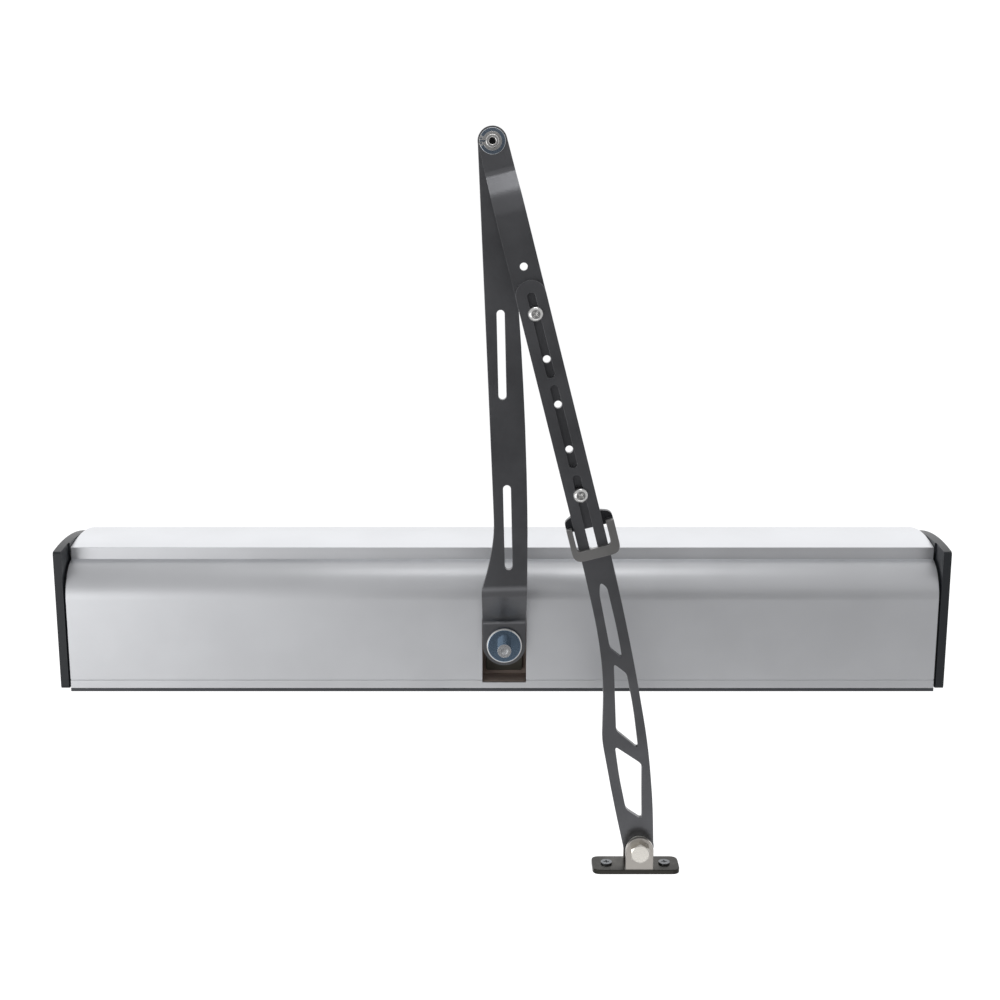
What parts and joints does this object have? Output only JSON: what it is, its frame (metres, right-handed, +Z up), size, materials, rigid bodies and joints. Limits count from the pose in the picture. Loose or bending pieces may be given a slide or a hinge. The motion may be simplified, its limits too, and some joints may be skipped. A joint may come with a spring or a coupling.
{
  "type": "door closer",
  "caption": "Powered door closer: long wall box with aluminium cover and dark end caps, gear motor inside, and a jointed, adjustable push arm with a door shoe.",
  "frame": {"origin": "centre of the face that rests on the wall above the door, halfway along the box and halfway up it", "axes": "+X along the box to the right as seen from in front, +Y into the wall, +Z up; the front faces -Y and the spindle leaves the underside along -Z"},
  "size_m": [0.663, 0.5281, 0.1969],
  "materials": {
    "zinc_steel": "zinc plated",
    "anodised": "satin anodised",
    "cap_plastic": "fine texture",
    "screw_zinc": "bright zinc",
    "cast_alloy": "as cast",
    "dark_plate": "black phosphate",
    "bearing_steel": "ground",
    "motor_paint": "satin",
    "black_plastic": "moulded",
    "magnet": "ground",
    "board_green": "solder mask",
    "brass": "turned",
    "capacitor_sleeve": "shrink sleeve",
    "relay_blue": "moulded",
    "terminal_green": "moulded",
    "heatsink": "extruded",
    "laminations": "varnished",
    "winding": "enamelled wire",
    "ivory_plastic": "moulded",
    "rubber": "moulded",
    "lead_red": "insulation",
    "shaft_steel": "turned",
    "gear_steel": "hobbed",
    "gear_brass": "hobbed",
    "spring_steel": "blued",
    "arm_paint": "satin",
    "loop_paint": "satin",
    "washer_steel": "polished",
    "armature": "laminated and wound",
    "bush_bronze": "sintered",
    "nylon": "natural"
  },
  "bodies": {
    "operator": {"back_plate": "motor_paint", "end_bracket_left": "zinc_steel", "end_bracket_right": "zinc_steel", "cover": "anodised", "end_cap_left": "cap_plastic", "end_cap_right": "cap_plastic", "cap_screws": "screw_zinc", "gearbox_housing": "cast_alloy", "gearbox_lid": "cast_alloy", "gearbox_screws": "screw_zinc", "bearing_retainer": "dark_plate", "spindle_bearing_lower": "bearing_steel", "spindle_bearing_upper": "bearing_steel", "spring_housing": "cast_alloy", "motor_can": "motor_paint", "motor_end_bell": "black_plastic", "motor_magnets": "magnet", "encoder_board": "board_green", "control_board": "board_green", "board_standoffs": "brass", "board_capacitors": "capacitor_sleeve", "board_relays": "relay_blue", "board_terminals": "terminal_green", "board_heatsink": "heatsink", "transformer_core": "laminations", "transformer_coil": "winding", "transformer_bracket": "zinc_steel", "mains_terminal": "ivory_plastic", "fuse_holder": "black_plastic", "cable_grommet": "rubber", "motor_leads": "lead_red"},
    "arm": {"spindle_shaft": "shaft_steel", "output_gear": "gear_steel", "closing_spring": "spring_steel", "main_arm": "arm_paint", "hub_washer": "washer_steel", "hub_bolt": "screw_zinc", "elbow_pin": "screw_zinc", "elbow_spacer": "nylon", "elbow_washer": "washer_steel", "elbow_clip": "spring_steel"},
    "second_wheel": {"second_gear": "gear_steel"},
    "first_wheel": {"first_gear": "gear_brass"},
    "motor_rotor": {"rotor": "armature"},
    "forearm": {"forearm_bar": "arm_paint", "elbow_bush": "bush_bronze", "guide_loop": "loop_paint", "clamp_screws": "screw_zinc", "clamp_nuts": "screw_zinc"},
    "lower_forearm": {"lower_arm": "arm_paint", "shoe_bush": "bush_bronze"},
    "shoe": {"shoe_bracket": "loop_paint", "shoe_bolt": "screw_zinc", "shoe_nut": "screw_zinc", "shoe_spacers": "nylon", "shoe_screws": "screw_zinc"}
  },
  "joints": [
    {"name": "arm_swing", "type": "hinge", "parent": "operator", "child": "arm", "pos_m": [0.0015, -0.04, -0.096], "axis": [0, 0, 1], "range_deg": [-100, 100]},
    {"name": "second_turn", "type": "hinge", "parent": "operator", "child": "second_wheel", "pos_m": [0.03674, -0.05283, -0.02], "axis": [0, 0, 1], "range_deg": [-400, 400]},
    {"name": "first_turn", "type": "hinge", "parent": "operator", "child": "first_wheel", "pos_m": [0.06524, -0.05283, -0.02], "axis": [0, 0, 1], "range_deg": [-1500, 1500]},
    {"name": "rotor_turn", "type": "hinge", "parent": "operator", "child": "motor_rotor", "pos_m": [0.08924, -0.05283, 0], "axis": [0, 0, 1], "range_deg": [-6000, 6000]},
    {"name": "elbow_turn", "type": "hinge", "parent": "arm", "child": "forearm", "pos_m": [-0.00671, -0.40191, -0.0973], "axis": [0, 0, 1], "range_deg": [-160, 30]},
    {"name": "length_slide", "type": "slide", "parent": "forearm", "child": "lower_forearm", "axis": [0.247, 0.969, 0], "range_m": [-0.04, 0.011]},
    {"name": "shoe_turn", "type": "hinge", "parent": "lower_forearm", "child": "shoe", "pos_m": [0.0986, 0.09467, -0.1201], "axis": [0, 0, 1], "range_deg": [-60, 80]}
  ],
  "couplings": [
    {"joint": "second_turn", "follows": "arm_swing", "ratio": -4},
    {"joint": "first_turn", "follows": "arm_swing", "ratio": 15},
    {"joint": "rotor_turn", "follows": "arm_swing", "ratio": -60}
  ]
}
